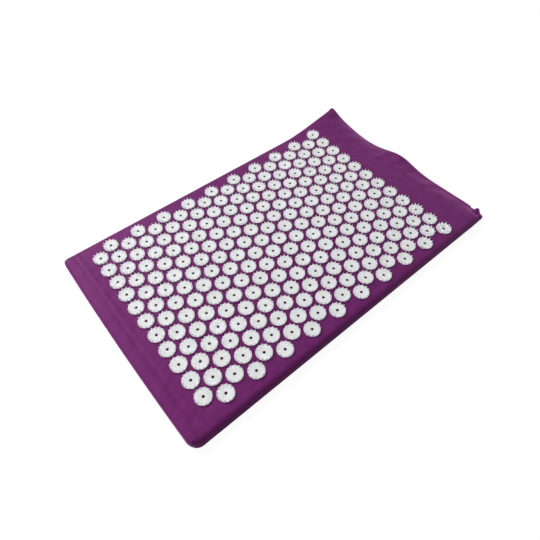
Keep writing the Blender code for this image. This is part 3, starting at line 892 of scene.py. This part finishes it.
# Zip and sewing

STITCH_PITCH = 0.0031
STITCH_LENGTH = 0.0024
STITCH_START = 0.00031
STITCH_RISE = 0.00012
STITCH_SINK = 0.00018
THREAD_RADIUS = 0.00022
THREAD_SHARES = (0.6, 1.0, 1.0, 1.0, 0.6)
THREAD_SIDES = 6

# The stitches lie this far above and below the zip's slot, and inside the hem's ends
SLOT_STITCHES_ABOVE = 0.0016
SLOT_STITCHES_BELOW = 0.0014
SLOT_STITCHES_OUT = 0.00004
HEM_STITCHES_START = 0.012
HEM_STITCHES_END = 0.014
HEM_STITCHES_UP = 0.0001

# The coil's loops: how far out each point lies, as a share of the coil, and its radius.
# The first loop of each half starts at a share of the pitch.
LOOP_PITCH = 0.0014
LOOP_SHARES = (0.0, 0.15, 0.7, 1.0)
LOOP_RADII = (0.00042, 0.00056, 0.00046, 0.00040)
LOOP_END = 0.0005
UPPER_START_SHARE = 0.5
LOWER_START_SHARE = 0.9
CORD_SHARE = 0.62
CORD_RADIUS = 0.00062
CORD_POINTS = 40
COIL_SIDES = 8


def tube(verts, faces, centres, radii, sides):
    """A closed tube through the centres, with its own radius at each."""
    upright_limit = 0.9
    centres = np.array(centres)
    run = centres[-1] - centres[0]
    run = run / np.linalg.norm(run)
    upright = abs(run[2]) > upright_limit
    side = np.cross(run, [1.0, 0.0, 0.0] if upright else [0.0, 0.0, 1.0])
    side = side / np.linalg.norm(side)
    up = np.cross(side, run)
    first = len(verts)
    for centre, radius in zip(centres, radii):
        for x, y, _ in circle(radius, 0.0, sides):
            verts.append(centre + x * side + y * up)
    add_bands(faces, first, len(centres), sides, turned=True)
    faces.append(tuple(range(first, first + sides)))
    last = first + (len(centres) - 1) * sides
    faces.append(tuple(range(last + sides - 1, last - 1, -1)))


def make_stitches(name, lines):
    """Rows of stitches. A line gives the point at a distance, its length and the way out."""
    verts = []
    faces = []
    radii = [THREAD_RADIUS * share for share in THREAD_SHARES]
    for point_at, length, outward in lines:
        for k in range(int(length / STITCH_PITCH)):
            start = k * STITCH_PITCH + STITCH_START
            near = point_at(start)
            far = point_at(start + STITCH_LENGTH)
            sunk = outward * -STITCH_SINK
            middle = (near + far) / 2 + outward * STITCH_RISE
            first_quarter = near * 0.75 + far * 0.25
            last_quarter = near * 0.25 + far * 0.75
            centres = [near + sunk, first_quarter, middle, last_quarter, far + sunk]
            tube(verts, faces, centres, radii, THREAD_SIDES)
    made = new_piece(name, verts, faces, thread_material)
    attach(made, "mat")


def make_coil(name, node_name, inner_is_low, start_share):
    """One half of the zip's chain: nylon loops round a cord."""
    low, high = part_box(node_name)
    middle_y = (low.y + high.y) / 2
    inner = low.z if inner_is_low else high.z
    outer = high.z if inner_is_low else low.z
    verts = []
    faces = []
    for k in range(int((high.x - low.x) / LOOP_PITCH)):
        x = low.x + (k + start_share) * LOOP_PITCH
        if x > high.x - LOOP_END:
            continue
        loop = [(x, middle_y, inner + (outer - inner) * share) for share in LOOP_SHARES]
        tube(verts, faces, loop, LOOP_RADII, COIL_SIDES)
    cord_z = inner + (outer - inner) * CORD_SHARE
    cord = [(x, middle_y, cord_z) for x in np.linspace(low.x, high.x, CORD_POINTS)]
    tube(verts, faces, cord, [CORD_RADIUS] * CORD_POINTS, COIL_SIDES)
    made = new_piece(name, verts, faces, coil_plastic)
    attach(made, "mat")
    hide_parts(node_name)


def slot_line(z):
    """A straight row of stitches beside the zip's slot, at a height."""
    wall_y = HALF_WIDTH * FULLNESS + PAD_Y + SLOT_STITCHES_OUT
    def point_at(distance):
        return np.array([ZIP_START_X + distance, wall_y, z])
    return point_at, ZIP_END_X - ZIP_START_X, np.array([0.0, 1.0, 0.0])


def hem_line():
    """The row of stitches in the hem's crease, which follows the cloth."""
    def point_at(distance):
        y = np.array(-HALF_WIDTH + HEM_STITCHES_START + distance)
        x = np.array(HALF_LENGTH - HEM_SEAM)
        x, y = place(x, y, 0.0, HALF_LENGTH, CLOSED_CORNER, OPEN_CORNER)
        z = top_height(x, y) + relief(x, y) + corner_flap(x, y)
        return np.array([float(x), float(y) + PAD_Y, float(z) + HEM_STITCHES_UP])
    length = 2 * HALF_WIDTH - HEM_STITCHES_START - HEM_STITCHES_END
    return point_at, length, np.array([0.0, 0.0, 1.0])


def make_sewing():
    above = slot_line(ZIP_Z + SLOT_HALF + SLOT_STITCHES_ABOVE)
    below = slot_line(ZIP_Z - SLOT_HALF - SLOT_STITCHES_BELOW)
    make_stitches("zip_stitches", [above, below])
    make_stitches("hem_stitches", [hem_line()])


def dress_nodes(names, material):
    """Gives nodes of the frame, which stay as they are, a material of this script."""
    for name in names:
        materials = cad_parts[name].data.materials
        materials.clear()
        materials.append(material)


# Stage, light and camera

# The floor's grey for the camera, for other rays and for those seen in metal and glass
FLOOR_REACH = 6.0
FLOOR_Z = -0.0002
FLOOR_GREY = 0.13
FLOOR_GLOW = 0.91
FLOOR_BOUNCE = 0.12
FLOOR_REFLECTED = 0.55
WORLD_LIGHT = 0.24
WORLD_SEEN = 1.0

# The photograph's camera, solved from the places of its discs, with its turn in degrees
CAMERA_LENS = 28.278
CAMERA_SENSOR = 36
CAMERA_PLACE = (-0.3547, -0.4049, 0.6322)
CAMERA_TURN = (36.551, 0.685, -39.783)


def background_rays(tree):
    """Two outputs: one for the camera's rays, and one for those seen in metal and glass."""
    rays = node(tree, "ShaderNodeLightPath")
    glossy = rays.outputs["Is Glossy Ray"]
    transmitted = rays.outputs["Is Transmission Ray"]
    return rays.outputs["Is Camera Ray"], math_node(tree, "MAXIMUM", glossy, transmitted)


def mix_shaders(tree, factor, otherwise, where_one):
    made = node(tree, "ShaderNodeMixShader")
    tree.links.new(factor, made.inputs[0])
    tree.links.new(otherwise, made.inputs[1])
    tree.links.new(where_one, made.inputs[2])
    return made.outputs[0]


def grey_diffuse(tree, level):
    made = node(tree, "ShaderNodeBsdfDiffuse")
    made.inputs["Color"].default_value = (level, level, level, 1)
    return made.outputs[0]


def white_background(tree, strength):
    made = node(tree, "ShaderNodeBackground")
    made.inputs["Color"].default_value = (1, 1, 1, 1)
    made.inputs["Strength"].default_value = strength
    return made.outputs[0]


def make_stage():
    """A floor that the camera sees as white, with the object's shadow on it."""
    mesh = bpy.data.meshes.new("floor")
    ends = (-FLOOR_REACH, FLOOR_REACH)
    corners = [(x, y, FLOOR_Z) for x in ends for y in ends]
    mesh.from_pydata(corners, [], [(0, 2, 3, 1)])
    floor = bpy.data.objects.new("floor", mesh)
    bpy.context.scene.collection.objects.link(floor)
    made = bpy.data.materials.new("floor_white")
    made.use_nodes = True
    tree = made.node_tree
    tree.nodes.clear()
    camera_ray, mirrored = background_rays(tree)
    glow = node(tree, "ShaderNodeEmission")
    glow.inputs["Strength"].default_value = FLOOR_GLOW
    seen = node(tree, "ShaderNodeAddShader")
    tree.links.new(grey_diffuse(tree, FLOOR_GREY), seen.inputs[0])
    tree.links.new(glow.outputs[0], seen.inputs[1])
    bounce = grey_diffuse(tree, FLOOR_BOUNCE)
    unseen = mix_shaders(tree, mirrored, bounce, grey_diffuse(tree, FLOOR_REFLECTED))
    out = node(tree, "ShaderNodeOutputMaterial")
    tree.links.new(mix_shaders(tree, camera_ray, unseen, seen.outputs[0]), out.inputs[0])
    mesh.materials.append(made)


def add_lamp(name, place_at, aim, size, power):
    lamp = bpy.data.lights.new(name, "AREA")
    lamp.shape = "DISK"
    lamp.size = size
    lamp.energy = power
    made = bpy.data.objects.new(name, lamp)
    made.location = place_at
    made.rotation_euler = (Vector(aim) - Vector(place_at)).to_track_quat("-Z", "Y").to_euler()
    bpy.context.scene.collection.objects.link(made)


def make_light():
    """A world that looks white, a lamp past the far side and one past the closed end."""
    world = bpy.data.worlds.new("studio")
    bpy.context.scene.world = world
    world.use_nodes = True
    tree = world.node_tree
    tree.nodes.clear()
    camera_ray, mirrored = background_rays(tree)
    seen = math_node(tree, "MAXIMUM", camera_ray, mirrored)
    dim = white_background(tree, WORLD_LIGHT)
    white = white_background(tree, WORLD_SEEN)
    out = node(tree, "ShaderNodeOutputWorld")
    tree.links.new(mix_shaders(tree, seen, dim, white), out.inputs[0])
    add_lamp("softbox", (-0.65, 2.25, 2.50), (-0.05, 0, 0), size=1.35, power=92)
    add_lamp("left_fill", (-1.60, 0.25, 2.30), (-0.1, 0, 0), size=1.2, power=19)


def make_camera():
    data = bpy.data.cameras.new("photo_view")
    data.lens = CAMERA_LENS
    data.sensor_width = CAMERA_SENSOR
    camera = bpy.data.objects.new("photo_view", data)
    camera.location = CAMERA_PLACE
    camera.rotation_euler = [math.radians(angle) for angle in CAMERA_TURN]
    bpy.context.scene.collection.objects.link(camera)
    bpy.context.scene.camera = camera


make_camera()
make_foam()
make_cover_bottom()
make_cover_top()
make_disc_columns()
make_coil("coil_loops_upper", "zip_coil_upper", True, UPPER_START_SHARE)
make_coil("coil_loops_lower", "zip_coil_lower", False, LOWER_START_SHARE)
make_sewing()
dress_nodes(("zip_slider", "zip_pull_tab", "zip_stop_closed_end", "zip_stop_open_end"), metal)
dress_nodes(("zip_tape_upper", "zip_tape_lower"), tape_material)
make_stage()
make_light()
bpy.context.scene.view_settings.view_transform = "Standard"
